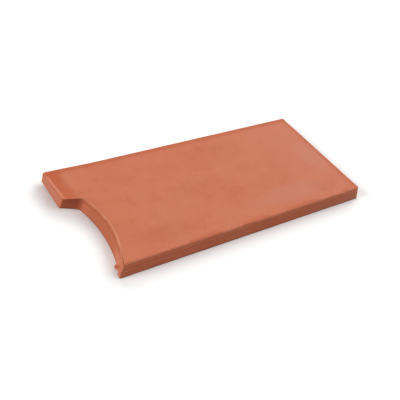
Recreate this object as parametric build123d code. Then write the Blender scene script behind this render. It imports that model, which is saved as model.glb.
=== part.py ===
from build123d import *
import math
import os

# Flat fired-clay roof tile, one end notched to clear the roll of the tile beside it.
# X runs along the tile, with the notched end at -X. Z is up, and the underside lies on Z = 0.
# The origin is the centre of the underside. All sizes are in millimetres.
# Plan sizes are to the sharp corners, before any edge is rounded.

# Slab, measured at the underside, which is the larger face
length = 400.0
width = 184.0
thickness = 18.0
wall_lean = 4.0           # how far each outer wall leans out between the top face and the underside

# Lug: it stays at full length on the +Y side of the notched end
lug_width_top = 57.0      # from the underside's +Y edge to the lug's inner corner
lug_width_under = 52.5
step_length_top = 24.0    # how far the lug's inner wall runs in from the lug's end
step_length_under = 23.5
step_flare_top = 7.0      # how much nearer to the tip that wall is at its root
step_flare_under = 10.5

# Hollow that clears the roll: a shallow arc from the lug's root to the tip
hollow_radius_top = 130.0
hollow_radius_under = 192.0

# Tip on the -Y side, where the hollow runs out through the long wall
tip_setback_top = 14.5    # how far the tip stands back from the lug's end
tip_setback_under = 15.5

# Rounded edges
corner_radius = 3.0       # upright outer corners
root_radius = 9.0         # upright inner corner between the lug and the hollow
arris_radius = 2.0        # round the top face
under_arris_radius = 1.0  # round the underside

cutter_margin = 20.0      # how far the notch's cutter runs out past the slab


class NotchPlan:
    """The notch's corners at one level, where the slab's walls stand in by lean from the underside."""

    def __init__(self, level, lean, lug_width, step_length, step_flare, tip_setback):
        end_x = length / 2 - lean
        self.lug_corner = Vector(-end_x, width / 2 - lug_width, level)
        self.root = self.lug_corner + Vector(step_length, -step_flare)
        self.tip = Vector(-end_x + tip_setback, -width / 2 + lean, level)

    def cutter_face(self, hollow_radius):
        """The notch's outline at this level, carried on past the slab's end and side."""
        arc_to_tip = RadiusArc(self.root, self.tip, hollow_radius)
        arc_out = arc_to_tip @ (1 + cutter_margin / arc_to_tip.length)
        step_out = self.lug_corner + (self.lug_corner - self.root).normalized() * cutter_margin
        outside = -length / 2 - 2 * cutter_margin
        lug_side = Vector(outside, step_out.Y, step_out.Z)
        tip_side = Vector(outside, arc_out.Y, arc_out.Z)
        return make_face([
            Line(step_out, self.root),
            RadiusArc(self.root, arc_out, hollow_radius),
            Line(arc_out, tip_side),
            Line(tip_side, lug_side),
            Line(lug_side, step_out),
        ])


def is_upright(edge):
    return abs((edge @ 1 - edge @ 0).Z) > thickness / 2


def upright_edge(solid, under_point, top_point):
    """The solid's edge that runs from a corner of the underside to a corner of the top face."""
    return solid.edges().filter_by(is_upright).sort_by_distance((under_point + top_point) / 2)[0]


def make_tile():
    """A slab with leaning walls, less the notch, with all its edges rounded."""
    under = NotchPlan(0.0, 0.0, lug_width_under, step_length_under, step_flare_under, tip_setback_under)
    top = NotchPlan(thickness, wall_lean, lug_width_top, step_length_top, step_flare_top, tip_setback_top)
    lean_angle = math.degrees(math.atan(wall_lean / thickness))
    slab = extrude(Rectangle(length, width), thickness, taper=lean_angle)
    notch = loft([under.cutter_face(hollow_radius_under), top.cutter_face(hollow_radius_top)], ruled=True)
    tile = (slab - notch).solids()[0]

    outer_corners = tile.edges().filter_by(is_upright) - [upright_edge(tile, under.root, top.root)]
    tile = fillet(outer_corners, corner_radius)
    tile = fillet(upright_edge(tile, under.root, top.root), root_radius)
    tile = fillet(tile.faces().sort_by(Axis.Z)[-1].edges(), arris_radius)
    return fillet(tile.faces().sort_by(Axis.Z)[0].edges(), under_arris_radius)


tile = make_tile()
tile.label = "notched_tile"

os.makedirs("parts", exist_ok=True)
export_step(tile, "parts/notched_tile.step")
print("notched_tile", "valid", tile.is_valid, "volume", round(tile.volume))
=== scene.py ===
import math

import bmesh
import bpy
from mathutils import Matrix, Vector, noise


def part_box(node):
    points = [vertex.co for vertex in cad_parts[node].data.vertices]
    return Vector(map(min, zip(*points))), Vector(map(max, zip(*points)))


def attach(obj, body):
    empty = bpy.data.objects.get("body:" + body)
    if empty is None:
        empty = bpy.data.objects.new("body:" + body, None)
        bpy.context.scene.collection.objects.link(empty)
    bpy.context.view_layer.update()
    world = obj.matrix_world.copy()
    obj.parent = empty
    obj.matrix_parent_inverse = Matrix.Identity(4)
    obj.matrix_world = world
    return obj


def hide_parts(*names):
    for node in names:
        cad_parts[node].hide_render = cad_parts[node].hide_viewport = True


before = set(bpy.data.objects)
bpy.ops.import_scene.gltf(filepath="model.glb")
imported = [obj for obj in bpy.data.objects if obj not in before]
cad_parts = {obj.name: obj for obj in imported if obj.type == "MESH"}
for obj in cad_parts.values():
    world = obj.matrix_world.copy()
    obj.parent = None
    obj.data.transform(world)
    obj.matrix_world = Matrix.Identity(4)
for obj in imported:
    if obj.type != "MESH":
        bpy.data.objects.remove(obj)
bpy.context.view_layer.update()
scene = bpy.context.scene
MM = 0.001

# The tile is one slab of red clay, about 18 mm thick, pressed in a mould, cut at one end and fired.
# Its walls lean out towards the underside, and that end is cut to a shallow hollow beside a square lug.
# It starts as its sharp plan at the underside and at the top face, joined by leaning walls.
cad_low, cad_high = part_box("notched_tile")
clearance = 0.05 * MM              # the tile stays this far inside its box
end_x = cad_high.x - clearance
side_y = cad_high.y - clearance
foot_z = cad_low.z
top_z = cad_high.z - clearance
wall_lean = 4.0 * MM               # how far the walls stand in at the top face
hollow_radius_under = 192.0 * MM
hollow_radius_top = 130.0 * MM
hollow_steps = 56
root_easing = 5.5 * MM             # how far each way from the root the wall curves round
root_steps = 10


def plan_line(level, lean, lug_corner, root, tip, hollow_radius):
    """Draws the plan at one level, along the hollow and on round the slab, and returns its edges."""
    known = set(clay.edges)
    lug_corner, root, tip = [Vector((*point, level)) for point in (lug_corner, root, tip)]
    chord = tip - root
    half_angle = math.asin(chord.length / 2 / hollow_radius)
    to_centre = Vector((chord.y, -chord.x, 0)).normalized() * hollow_radius * math.cos(half_angle)
    centre = (root + tip) / 2 + to_centre
    eased_angle = root_easing / hollow_radius
    past_root = Matrix.Rotation(-eased_angle, 3, "Z") @ (root - centre) + centre
    before_root = root + (lug_corner - root).normalized() * root_easing
    start = clay.verts.new(past_root)
    arc = bmesh.ops.spin(
        clay, geom=[start], cent=centre, axis=(0, 0, 1),
        angle=eased_angle - 2 * half_angle, steps=hollow_steps,
    )
    last = [item for item in arc["geom_last"] if isinstance(item, bmesh.types.BMVert)][0]
    outline = [
        Vector((end_x - lean, -side_y + lean, level)),
        Vector((end_x - lean, side_y - lean, level)),
        Vector((-end_x + lean, side_y - lean, level)),
        lug_corner,
    ]
    for step in range(root_steps):
        share = step / root_steps
        outline.append(before_root.lerp(root, share).lerp(root.lerp(past_root, share), share))
    for point in outline:
        corner = clay.verts.new(point)
        clay.edges.new((last, corner))
        last = corner
    clay.edges.new((last, start))
    return [edge for edge in clay.edges if edge not in known]


clay = bmesh.new()
under_line = plan_line(
    foot_z, 0.0, lug_corner=(-end_x, 39.5 * MM), root=(-176.5 * MM, 29.0 * MM),
    tip=(-184.5 * MM, -side_y), hollow_radius=hollow_radius_under,
)
top_line = plan_line(
    top_z, wall_lean, lug_corner=(-end_x + wall_lean, 35.0 * MM), root=(-173.0 * MM, 28.0 * MM),
    tip=(-182.3 * MM, -side_y + wall_lean), hollow_radius=hollow_radius_top,
)
bmesh.ops.bridge_loops(clay, edges=under_line + top_line)
bmesh.ops.contextual_create(clay, geom=under_line)
bmesh.ops.contextual_create(clay, geom=top_line)
bmesh.ops.recalc_face_normals(clay, faces=clay.faces)

# Its edges are sponged round while the clay is wet: wide round the top face, small round the foot.
corner_angle = math.radians(20)    # an upright edge that turns more than this is a corner
corner_rounding = 3.5 * MM
far_corner_rounding = 2.5 * MM     # the lug's far corner is sharper than the others
arris_width = 3.4 * MM             # how far in the rounding of the top face's edge begins
foot_rounding = 1.0 * MM
level_slack = 0.01 * MM            # how far off a level an edge may be and still count as on it


def soften(edges, offset, segments):
    """Rounds edges over."""
    bmesh.ops.bevel(
        clay, geom=edges, offset=offset, offset_type="OFFSET", affect="EDGES",
        segments=segments, profile=0.5, material=-1, clamp_overlap=True,
    )


def is_upright(edge):
    return abs(edge.verts[0].co.z - edge.verts[1].co.z) > (top_z - foot_z) / 2


def upright_corners():
    """The slab's upright edges that are still sharp."""
    return [edge for edge in clay.edges if is_upright(edge) and edge.calc_face_angle() > corner_angle]


def edges_on(level):
    """The edges that lie flat at one level."""
    return [edge for edge in clay.edges if all(abs(vert.co.z - level) < level_slack for vert in edge.verts)]


far_lug_edge = min(upright_corners(), key=lambda edge: edge.verts[0].co.x - edge.verts[0].co.y)
soften([far_lug_edge], far_corner_rounding, 6)
soften(upright_corners(), corner_rounding, 6)
soften(edges_on(top_z), arris_width, 7)
soften(edges_on(foot_z), foot_rounding, 3)

# The slab is divided, closely round the notch and along the near side, so that its surface can be moved.
wall_cut = 1.2 * MM
close_cut = 1.3 * MM
broad_cut = 2.6 * MM
notch_reach = -160 * MM            # the close cuts along the tile end here
near_reach = -60 * MM              # the close cuts across the tile end here
weld_distance = 0.0005 * MM


def cut_across(axis, low, high, step):
    """Divides the slab by planes square to one axis."""
    normal = Vector([float(axis == place) for place in range(3)])
    count = round((high - low) / step)
    for place in range(count):
        bmesh.ops.bisect_plane(
            clay, geom=clay.verts[:] + clay.edges[:] + clay.faces[:], dist=weld_distance,
            plane_co=normal * (low + step * (place + 0.5)), plane_no=normal,
        )


cut_across(2, foot_z + foot_rounding, top_z - arris_width, wall_cut)
cut_across(0, -end_x, notch_reach, close_cut)
cut_across(0, notch_reach, end_x, broad_cut)
cut_across(1, -side_y, near_reach, close_cut)
cut_across(1, near_reach, side_y, broad_cut)

# The clay isn't quite true. Pressing leaves its faces uneven and its long walls with a parting ridge.
# Drying splays and curls the lug's far corner, and cutting the hollow leaves a torn lip at the tip.
unevenness = 0.30 * MM
arris_wear = 0.30 * MM
near_wear = 1.0 * MM               # further wear of the near arris at the plain end, half of it at the notch
parting_height = 9.5 * MM
parting_width = 0.9 * MM
parting_ridge = 0.22 * MM
hollow_middle = Vector((-293.7, -20.4)) * MM   # the middle of the hollow's arc at the top face
rim_rubbing = 0.8 * MM             # how far the hollow's upper edge is rubbed down
lug_foot_tuck = 1.3 * MM           # how far the lug's foot stands in beside the hollow
lug_brow_near = 0.4 * MM           # how far the lug's upper edge stands out beside the hollow
lug_brow_far = 3.3 * MM            # how much further out it stands at the far corner
far_spread = 2.2 * MM              # how far the far wall's upper edge stands out at the lug
foot_curl = 4.0 * MM               # how far the underside rises at the lug's far corner
curl_start = 40 * MM               # the rise begins at the lug's inner corner
curl_width = 52 * MM
plain_brow = 1.4 * MM              # how far the plain end's upper edge stands out
plain_foot = 1.2 * MM              # how far the plain end's foot stands in
tip_droop = 1.2 * MM               # how far the tip's upper edge sinks
tip_set_back = 3.0 * MM            # how far its upper corner stands in
lip_places = [Vector((-181.0, -74.8, 3.2)) * MM, Vector((-183.0, -85.5, 2.0)) * MM]
lip_reach = [5.2 * MM, 1.8 * MM]   # how far the two torn bulges stand out
lip_width = 3.0 * MM
lip_height = 4.6 * MM


def ripple(point, size, seed):
    """A smooth value from 0 to 1 that changes over a distance of size."""
    return min(1.0, max(0.0, 0.5 + 0.5 * noise.noise(point / size + Vector((seed, seed, seed)))))


def ease(value, low, high):
    """Rises smoothly from 0 at low to 1 at high."""
    share = min(1.0, max(0.0, (value - low) / (high - low)))
    return share * share * (3 - 2 * share)


def wear(point, normal):
    """How far the surface stands in: a little all over, and more along the top face's edges."""
    uneven = unevenness * (0.7 * ripple(point, 48 * MM, 3.1) + 0.3 * ripple(point, 16 * MM, 7.3))
    on_arris = ease(normal.z, 0.24, 0.5) * (1 - ease(normal.z, 0.93, 1.0))
    ragged = arris_wear * (ripple(point, 22 * MM, 5.7) + 0.6 * ripple(point, 7 * MM, 11.9))
    near_side = near_wear * ease(-point.y, 70 * MM, 86 * MM) * (0.5 + 0.5 * ease(point.x, 0, 200 * MM))
    return uneven + on_arris * (ragged + near_side)


def parting(point, normal):
    """How far the parting ridge stands out along the long walls."""
    on_side = (1 - ease(abs(normal.z), 0.3, 0.5)) * ease(abs(normal.y), 0.8, 0.95)
    return on_side * parting_ridge * math.exp(-((point.z - parting_height) / parting_width) ** 2)


def rubbed_rim(point, normal):
    """How far the clay is rubbed down along the hollow's upper edge."""
    if normal.z <= 0.2 or point.y >= 27 * MM:
        return 0.0
    from_hollow = (point.xy - hollow_middle).length - hollow_radius_top
    return rim_rubbing * (1 - ease(from_hollow, -1.0 * MM, 6.5 * MM)) * ease(point.z, 11 * MM, top_z)


def warped_lug(point, up):
    """The lug's end wall stands steeper by the hollow, and splays and curls up towards the far corner."""
    toward_far = ease(point.y, 20 * MM, 92 * MM)
    at_end = ease(-point.x, 178 * MM, 194 * MM) * ease(point.y, 26 * MM, 38 * MM)
    tucked = lug_foot_tuck * (1 - toward_far) * (1 - up)
    brow = (lug_brow_near + lug_brow_far * toward_far) * up
    spread = far_spread * ease(-point.x, 120 * MM, 200 * MM) * ease(point.y, 55 * MM, 92 * MM) * up
    rise = max(0.0, point.y - curl_start) / curl_width * (1 - up)
    curl = foot_curl * ease(-point.x, 130 * MM, 200 * MM) * rise
    return Vector((at_end * (tucked - brow), spread, curl))


def steep_plain_end(point, up):
    """The plain end's wall leans less than the others."""
    return Vector((ease(point.x, 180 * MM, 194 * MM) * (plain_brow * up - plain_foot * (1 - up)), 0, 0))


def torn_tip(point, normal):
    """The tip's upper corner is set back and down, and two torn bulges stand out low on its cut wall."""
    drooping = ease(-point.y, 50 * MM, 80 * MM) * ease(-normal.x, 0.1, 0.35) * ease(point.z, 9 * MM, top_z)
    at_corner = ease(-point.y, 60 * MM, 88 * MM) * ease(-point.x, 160 * MM, 176 * MM)
    shift = Vector((tip_set_back * at_corner * ease(point.z, 3 * MM, top_z), 0, -tip_droop * drooping))
    if point.x < -172 * MM and point.y < -50 * MM and normal.x < -0.3:
        for place, reach in zip(lip_places, lip_reach):
            away = math.hypot((point.y - place.y) / lip_width, (point.z - place.z) / lip_height)
            shift.x -= reach * math.exp(-away ** 2) * (0.8 + 0.4 * ripple(point, 3 * MM, 17.7))
    return shift


def worked(point, normal):
    """Where a point of the true slab ends up after pressing, cutting, drying and firing."""
    up = point.z / top_z
    moved = point + normal * (parting(point, normal) - wear(point, normal))
    moved += warped_lug(point, up) + steep_plain_end(point, up) + torn_tip(point, normal)
    moved.z = max(moved.z - rubbed_rim(point, normal), foot_z)
    return moved


clay.normal_update()
places = [(vert, worked(vert.co, vert.normal)) for vert in clay.verts]
for vert, place in places:
    vert.co = place
bmesh.ops.recalc_face_normals(clay, faces=clay.faces)

tile_mesh = bpy.data.meshes.new("pressed_tile")
clay.to_mesh(tile_mesh)
clay.free()
for face in tile_mesh.polygons:
    face.use_smooth = True
tile = bpy.data.objects.new("pressed_tile", tile_mesh)
scene.collection.objects.link(tile)
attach(tile, "root")
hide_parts("notched_tile")


# The fired clay is matt and unglazed, orange where it was cut and greyer where the press left its fine skin.
# It is clouded all over, darker and redder beside the lug partly in painted shade, paler towards the plain
# end in painted sheen, and pale along its worn arrises with painted highlights.
class Shade:
    """One output of a material's node. Python's operators on it add Math nodes."""

    def __init__(self, tree, socket=None):
        self.tree = tree
        self.socket = socket

    def node(self, kind, settings, inputs, output=0):
        """Adds a node, sets it up, fills or links its sockets, and returns one of its outputs."""
        made = self.tree.nodes.new("ShaderNode" + kind)
        for name, value in settings.items():
            setattr(made, name, value)
        for name, value in inputs.items():
            if isinstance(value, Shade):
                self.tree.links.new(value.socket, made.inputs[name])
            else:
                made.inputs[name].default_value = value
        return Shade(self.tree, made.outputs[output])

    def feed(self, shader, name):
        """Links this value to a named socket of a shader or of a material's output."""
        self.tree.links.new(self.socket, shader.inputs[name])

    def maths(self, operation, first, second):
        return self.node("Math", {"operation": operation}, {0: first, 1: second})

    def __add__(self, other):
        return self.maths("ADD", self, other)

    def __sub__(self, other):
        return self.maths("SUBTRACT", self, other)

    def __rsub__(self, other):
        return self.maths("SUBTRACT", other, self)

    def __mul__(self, other):
        return self.maths("MULTIPLY", self, other)

    def __truediv__(self, other):
        return self.maths("DIVIDE", self, other)

    def __pow__(self, other):
        return self.maths("POWER", self, other)

    __radd__ = __add__
    __rmul__ = __mul__

    def between(self, none, full):
        """Goes smoothly from 0 where this value is none to 1 where it is full, whichever is the larger."""
        return self.node("MapRange", {"interpolation_type": "SMOOTHSTEP"}, {0: self, 1: none, 2: full})

    def blend(self, share, first, second):
        """The first colour where share is 0, and the second where it is 1."""
        return self.node("Mix", {"data_type": "RGBA"}, {0: share, 6: first, 7: second}, output=2)

    def tint(self, colour, share):
        """This colour, turned towards another one by share."""
        return self.blend(share, self, colour)


terracotta = bpy.data.materials.new("terracotta")
terracotta.use_nodes = True
clay_shader = terracotta.node_tree.nodes["Principled BSDF"]
surface = Shade(terracotta.node_tree)
position = surface.node("TexCoord", {}, {}, output="Object")
along, across, height = [surface.node("SeparateXYZ", {}, {0: position}, output=axis) for axis in "XYZ"]
facing = surface.node("SeparateXYZ", {}, {0: surface.node("TexCoord", {}, {}, output="Normal")}, output="Z")


def cloud(scale, detail, roughness=0.5):
    """Noise over the clay, from 0 to 1, with its middle at one half."""
    return surface.node("TexNoise", {}, {
        "Vector": position, "Scale": scale, "Detail": detail, "Roughness": roughness,
    })


def patch(x, y, half_length, half_width):
    """A soft oval on the top face, given in millimetres: 1 at its middle and 0 round its edge."""
    from_middle = ((along - x * MM) / (half_length * MM)) ** 2 + ((across - y * MM) / (half_width * MM)) ** 2
    return from_middle.between(1.0, 0.0)


broad_cloud = cloud(14.0, 3.0)
close_cloud = cloud(62.0, 3.0)
smudge_cloud = cloud(40.0, 2.0)
pit_cloud = cloud(90.0, 1.0)
grain = cloud(520.0, 3.0, 0.6)
drawn_out = surface.node("Mapping", {}, {"Vector": position, "Scale": (1, 1, 20)})
streaks = surface.node("TexNoise", {}, {"Vector": drawn_out, "Scale": 25.0, "Detail": 4.0})
cells = surface.node("TexVoronoi", {}, {"Vector": position, "Scale": 300.0}, output="Distance")

# Faces and edges are told apart by how far they face up.
top_face = facing.between(0.86, 0.99)
arris_band = facing.between(0.45, 0.75) * facing.between(1.0, 0.95)
arris_crease_shade = facing.between(0.22, 0.30) * facing.between(0.55, 0.34)
wall = facing.between(0.45, 0.28)                # the walls and the underside
side_wall = wall * facing.between(-0.98, -0.6)   # the walls alone

cut_clay = (0.588, 0.156, 0.073, 1)
skin_clay = (0.562, 0.162, 0.082, 1)
burnt_clay_and_shade = (0.478, 0.103, 0.036, 1)
dark_clay_and_shade = (0.450, 0.110, 0.050, 1)
bloom_and_sheen = (0.545, 0.208, 0.132, 1)
worn_and_highlight_clay = (0.740, 0.300, 0.190, 1)
contact_shadow_clay = (0.150, 0.045, 0.030, 1)

# Clouds lie all over.
colour = surface.blend(top_face, cut_clay, skin_clay)
colour = colour.tint(dark_clay_and_shade, 0.22 * broad_cloud.between(0.50, 0.72))
colour = colour.tint(bloom_and_sheen, 0.20 * broad_cloud.between(0.52, 0.26))
colour = colour.tint(dark_clay_and_shade, 0.22 * close_cloud.between(0.52, 0.75))
colour = colour.tint(bloom_and_sheen, 0.20 * close_cloud.between(0.46, 0.24))

# The top face has a worn line along its near edge, a pale bloom that is partly painted sheen, and redder
# patches.
near_line = facing.between(0.90, 0.97) * facing.between(0.999, 0.990) * across.between(-76 * MM, -84 * MM)
colour = colour.tint(worn_and_highlight_clay, 0.5 * near_line * close_cloud.between(0.35, 0.65))
bloom_and_sheen_patches = patch(95, -60, 75, 22) + patch(176, -4, 26, 46) + 0.5 * patch(20, -66, 50, 16)
# Painted sheen pales the top face towards the plain end.
bloom_and_sheen_patches = bloom_and_sheen_patches + 0.5 * along.between(-20 * MM, 180 * MM)
colour = colour.tint(bloom_and_sheen, top_face * bloom_and_sheen_patches * (0.18 + 0.5 * close_cloud))
redness = patch(-20, -6, 60, 24) + patch(20, -30, 20, 12) + patch(150, -64, 30, 16)
redness = redness + 1.6 * patch(-104, -62, 52, 20) + 0.5 * patch(10, 48, 110, 30)
redness = redness + 0.8 * across.between(70 * MM, 90 * MM) + 0.6 * along.between(180 * MM, 197 * MM)
colour = colour.tint(dark_clay_and_shade, top_face * redness * (0.10 + 0.25 * close_cloud))

# The lug has a darker, redder strip along its end that is partly painted shade, with painted shade in a
# groove and a crease at the arris, and a worn line partly painted as a highlight.
lug_inset = along + 0.055 * across + 193.8 * MM  # how far in from the lug's slightly skew end
on_lug = across.between(34 * MM, 42 * MM) * (1 - 0.7 * across.between(84 * MM, 90 * MM))
# Partly painted shade: a darker strip along the lug's end.
lug_end_shade_strip = lug_inset.between(24 * MM, 9 * MM) * lug_inset.between(3.2 * MM, 5.0 * MM)
lug_end_shade_strip = lug_end_shade_strip * across.between(24 * MM, 38 * MM)
colour = colour.tint(burnt_clay_and_shade, top_face * lug_end_shade_strip * (0.5 + 0.9 * close_cloud))
# Painted shade in the groove inside the lug's arris.
lug_groove_shade = on_lug * lug_inset.between(2.6 * MM, 3.6 * MM) * lug_inset.between(5.6 * MM, 4.0 * MM)
colour = colour.tint(dark_clay_and_shade, lug_groove_shade * (0.2 + 0.8 * close_cloud))
# A worn line on the lug's arris that is partly a painted highlight.
lug_highlight_line = on_lug * lug_inset.between(3.2 * MM, 2.0 * MM) * facing.between(0.66, 0.80)
colour = colour.tint(worn_and_highlight_clay, lug_highlight_line * (0.05 + 0.4 * close_cloud))
# Painted shade in the crease under the lug's arris.
lug_crease_shade = on_lug * lug_inset.between(2.5 * MM, 1.5 * MM)
lug_crease_shade = lug_crease_shade * facing.between(0.16, 0.30) * facing.between(0.7, 0.5)
colour = colour.tint(dark_clay_and_shade, 0.8 * lug_crease_shade)

# Burnt clay shows along the plain end's and the far side's arris, and in smudges along the near one.
end_line = along.between(189 * MM, 193 * MM) + 1.4 * across.between(77 * MM, 84 * MM)
colour = colour.tint(burnt_clay_and_shade, facing.between(0.4, 0.7) * end_line * (0.2 + 0.6 * close_cloud))
near_smudge = facing.between(0.55, 0.85) * across.between(-79 * MM, -87 * MM)
colour = colour.tint(burnt_clay_and_shade, 0.6 * near_smudge * smudge_cloud.between(0.44, 0.56))

# The lug's end wall and the hollow's wall are pale and streaked, the tip's upper wall is lit pale by painted
# light, and the lug's inner wall is darkened by painted shade.
from_hollow = ((along - hollow_middle.x) ** 2 + (across - hollow_middle.y) ** 2) ** 0.5 - hollow_radius_top
lug_face = wall * along.between(-190 * MM, -196 * MM) * across.between(36 * MM, 44 * MM)
colour = colour.tint(bloom_and_sheen, lug_face * (0.3 + 0.6 * streaks))
hollow_wall = wall * from_hollow.between(3.0 * MM, 0.0) * across.between(30 * MM, 16 * MM)
from_root = 1 - 0.7 * across.between(-5 * MM, 28 * MM)
colour = colour.tint(worn_and_highlight_clay, hollow_wall * from_root * (0.1 + streaks * close_cloud))
colour = colour.tint(worn_and_highlight_clay, 0.3 * hollow_wall * across.between(-40 * MM, -80 * MM))
# Painted light on the tip's upper wall.
tip_painted_light = facing.between(0.95, 0.7) * from_hollow.between(3.0 * MM, -1.0 * MM)
tip_painted_light = tip_painted_light * across.between(-52 * MM, -78 * MM) * height.between(6 * MM, 13 * MM)
colour = colour.tint(worn_and_highlight_clay, 0.5 * tip_painted_light)
# Painted shade darkens the lug's inner wall.
shaded_step_wall = side_wall * across.between(24 * MM, 30 * MM) * across.between(40 * MM, 36 * MM)
shaded_step_wall = shaded_step_wall * along.between(-166 * MM, -172 * MM)
colour = colour.tint(dark_clay_and_shade, shaded_step_wall * (0.5 + 0.5 * height.between(4 * MM, 14 * MM)))

# The walls are paler towards the plain end in painted light, streaked along, and darkened by painted shade in
# the crease where the arris begins.
# Painted light pales the walls towards the plain end.
colour = colour.tint(bloom_and_sheen, 0.5 * wall * along.between(40 * MM, 200 * MM))
colour = colour.tint(dark_clay_and_shade, 0.30 * wall * streaks.between(0.5, 0.7))
colour = colour.tint(worn_and_highlight_clay, 0.15 * wall * streaks.between(0.5, 0.3))
colour = colour.tint(dark_clay_and_shade, 0.6 * arris_crease_shade)

# The arrises are rubbed pale with a painted highlight, most of all the hollow's rim above its crease of
# painted shade, and painted contact shadow darkens the foot.
colour = colour.tint(worn_and_highlight_clay, 0.6 * arris_band * (0.15 + 0.6 * close_cloud.between(0.35, 0.65)))
beside_root = across.between(34 * MM, 22 * MM)
# Painted highlight along the hollow's rim, partly wear.
hollow_rim_highlight = from_hollow.between(-1.2 * MM, 0.0) * from_hollow.between(3.0 * MM, 1.2 * MM)
hollow_rim_highlight = hollow_rim_highlight * facing.between(0.4, 0.7) * (1 - 0.6 * across.between(-30 * MM, 30 * MM))
hollow_rim_highlight = hollow_rim_highlight * beside_root * across.between(-92 * MM, -52 * MM)
colour = colour.tint(worn_and_highlight_clay, hollow_rim_highlight * (0.12 + 0.8 * close_cloud.between(0.35, 0.75)))
# Painted shade in the crease below the hollow's rim.
hollow_crease_shade = from_hollow.between(-2.4 * MM, -1.0 * MM) * from_hollow.between(0.4 * MM, -0.8 * MM)
hollow_crease_shade = hollow_crease_shade * beside_root * height.between(11 * MM, 13 * MM)
colour = colour.tint(dark_clay_and_shade, 0.7 * hollow_crease_shade)
# Painted contact shadow darkens the foot of the walls.
colour = colour.tint(dark_clay_and_shade, 0.9 * side_wall * height.between(2.6 * MM, 0.3 * MM))
colour = colour.tint(contact_shadow_clay, 0.7 * side_wall * height.between(1.5 * MM, 0.2 * MM))

# Grain and small pits come last.
colour = colour.tint(worn_and_highlight_clay, 0.30 * grain.between(0.56, 0.80))
colour = colour.tint(dark_clay_and_shade, 0.35 * grain.between(0.46, 0.22))
pits = cells.between(0.22, 0.10) * pit_cloud.between(0.52, 0.62)
colour = colour.tint(dark_clay_and_shade, 0.5 * pits)
colour.feed(clay_shader, "Base Color")

roughness = 0.70 + 0.20 * close_cloud + 0.1 * wall
roughness.feed(clay_shader, "Roughness")
clay_shader.inputs["Specular IOR Level"].default_value = 0.25
relief = 0.5 * grain + 0.9 * close_cloud - 0.7 * pits + 0.8 * wall * streaks
bump = surface.node("Bump", {}, {"Height": relief, "Strength": 0.35, "Distance": 0.5 * MM})
bump.feed(clay_shader, "Normal")
tile_mesh.materials.append(terracotta)

# The tile lies on a plain white floor that keeps its soft shadow.
# What the camera sees of the floor is a little brighter than what lights the tile from below.
floor_reach = 12.0                 # metres from the middle to each side
bounced_white = (0.8, 0.8, 0.8, 1)
seen_white = (1.08, 1.08, 1.08, 1)


def in_view(shade):
    """1 for the rays that show a background: from the camera, off a gloss and through glass."""
    camera_ray = shade.node("LightPath", {}, {}, output="Is Camera Ray")
    glossy_ray = shade.node("LightPath", {}, {}, output="Is Glossy Ray")
    return camera_ray + glossy_ray + shade.node("LightPath", {}, {}, output="Is Transmission Ray")


floor_mesh = bpy.data.meshes.new("floor")
ground = bmesh.new()
bmesh.ops.create_grid(ground, x_segments=1, y_segments=1, size=floor_reach)
ground.to_mesh(floor_mesh)
ground.free()
floor = bpy.data.objects.new("floor", floor_mesh)
scene.collection.objects.link(floor)
paper = bpy.data.materials.new("paper")
paper.use_nodes = True
paper.node_tree.nodes.remove(paper.node_tree.nodes["Principled BSDF"])
sheet = Shade(paper.node_tree)
white = sheet.blend(in_view(sheet), bounced_white, seen_white)
paper_face = sheet.node("BsdfDiffuse", {}, {"Color": white})
paper_face.feed(paper.node_tree.nodes["Material Output"], "Surface")
floor_mesh.materials.append(paper)

# Soft daylight comes from four broad windows: one to the left, two behind the tile and one to the right.
# The room itself gives a little light from all round, and shows white behind the floor.
room_light = 0.06
world = bpy.data.worlds.new("room")
scene.world = world
world.use_nodes = True
sky = Shade(world.node_tree)
sky_shader = world.node_tree.nodes["Background"]
sky_strength = room_light + (1 - room_light) * in_view(sky)
sky_strength.feed(sky_shader, "Strength")
sky_shader.inputs["Color"].default_value = (1, 1, 1, 1)


def soft_light(name, azimuth, elevation, strength, spread):
    """A broad, even light far away. Its azimuth runs from the notched end towards the lug's side."""
    lamp = bpy.data.lights.new(name, "SUN")
    lamp.energy = strength
    lamp.angle = math.radians(spread)
    lamp_object = bpy.data.objects.new(name, lamp)
    around = math.radians(azimuth)
    above = math.radians(elevation)
    level = math.cos(above)
    from_there = Vector((-math.cos(around) * level, math.sin(around) * level, math.sin(above)))
    lamp_object.matrix_world = from_there.to_track_quat("Z", "Y").to_matrix().to_4x4()
    scene.collection.objects.link(lamp_object)


soft_light("left_window", azimuth=12, elevation=28, strength=2.15, spread=30)
soft_light("back_window", azimuth=105, elevation=28, strength=0.85, spread=32)
soft_light("far_window", azimuth=150, elevation=28, strength=1.40, spread=32)
soft_light("right_window", azimuth=198, elevation=43, strength=1.45, spread=45)

# The camera looks down along the tile from beyond its notched end, a little rolled, as in the photograph.
# Its place and its lens fit the tile's outline in the photograph's frame.
camera_data = bpy.data.cameras.new("camera")
camera_data.sensor_width = 36.0
camera_data.lens = 59.07
camera = bpy.data.objects.new("camera", camera_data)
looks_at = Vector((-21.57, -11.5, 0)) * MM
distance = 865.16 * MM
azimuth = math.radians(-42.646)
elevation = math.radians(39.829)
roll = math.radians(14.319)
away = Vector((
    math.sin(azimuth) * math.cos(elevation), -math.cos(azimuth) * math.cos(elevation), math.sin(elevation)
))
camera.matrix_world = (
    Matrix.Translation(looks_at + away * distance)
    @ away.to_track_quat("Z", "Y").to_matrix().to_4x4()
    @ Matrix.Rotation(roll, 4, "Z")
)
scene.collection.objects.link(camera)
scene.camera = camera
scene.view_settings.view_transform = "Standard"
